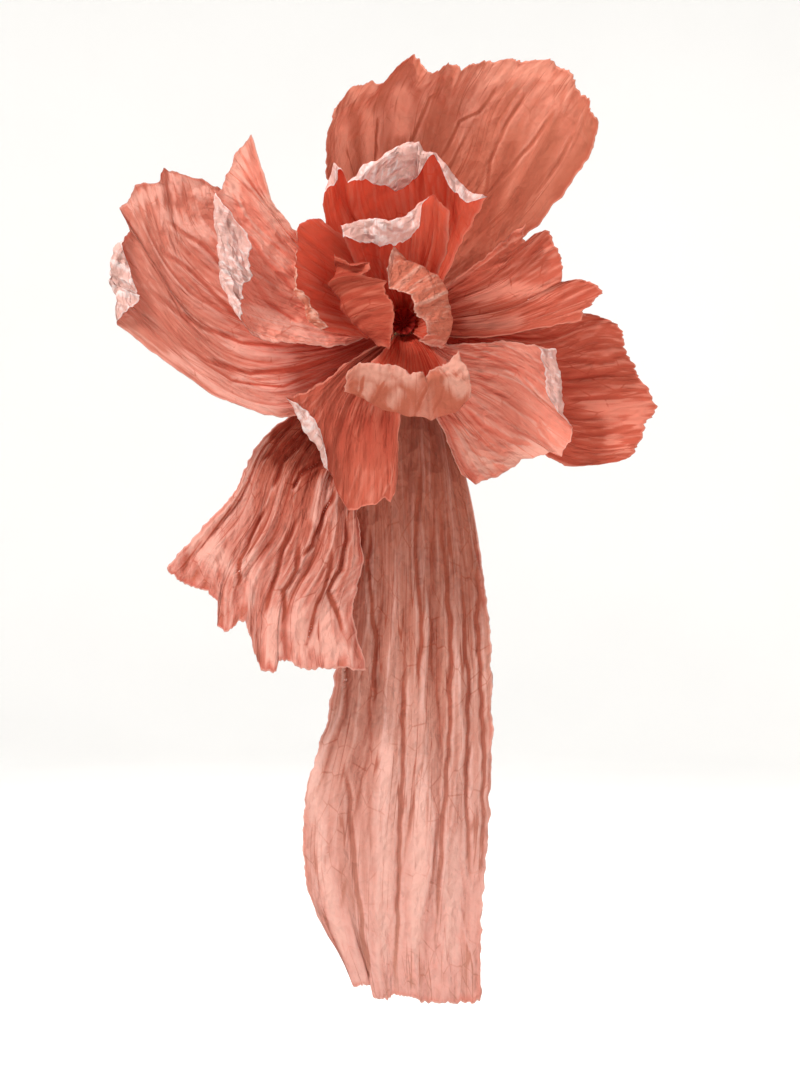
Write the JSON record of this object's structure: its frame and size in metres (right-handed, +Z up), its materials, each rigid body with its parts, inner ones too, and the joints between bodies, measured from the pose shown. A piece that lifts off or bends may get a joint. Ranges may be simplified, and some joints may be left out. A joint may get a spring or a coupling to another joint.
{
  "type": "paper flower wall decoration",
  "caption": "Giant crumpled-paper wall flower: gathered coral petals around curled throat petals, with one long hanging petal, tied to a wooden core on a round wall plate.",
  "frame": {"origin": "centre of the wall plate's back face, on the axis of the core", "axes": "+Y into the wall, so the flower faces -Y; +Z up; +X to the right as seen from the front"},
  "size_m": [1.0495, 0.3884, 1.8335],
  "materials": {
    "paper_coral": "crumpled matte paper, coral",
    "paper_deep": "crumpled matte paper, deep coral",
    "paper_pale": "crumpled matte paper, faded coral",
    "plywood": "sanded plywood",
    "beech": "planed beech",
    "iron_wire": "annealed soft wire",
    "zinc": "zinc-plated steel"
  },
  "bodies": {
    "root": {"hanging_petal": "paper_pale", "top_back_petal": "paper_coral", "right_back_petal": "paper_coral", "lower_left_long_petal": "paper_coral", "left_petal": "paper_coral", "upper_left_petal": "paper_coral", "right_upper_petal": "paper_coral", "right_lower_petal": "paper_coral", "lower_left_petal": "paper_coral", "upper_cup_petal": "paper_deep", "left_cup_petal": "paper_deep", "upper_inner_petal": "paper_deep", "left_inner_petal": "paper_coral", "right_inner_petal": "paper_coral", "lower_inner_petal": "paper_coral", "throat_rosette": "paper_deep", "wall_plate": "plywood", "core_rod": "beech", "core_screw_left": "zinc", "core_screw_right": "zinc", "heart_tie": "iron_wire", "cup_tie": "iron_wire", "middle_tie": "iron_wire", "back_tie": "iron_wire"}
  },
  "joints": []
}
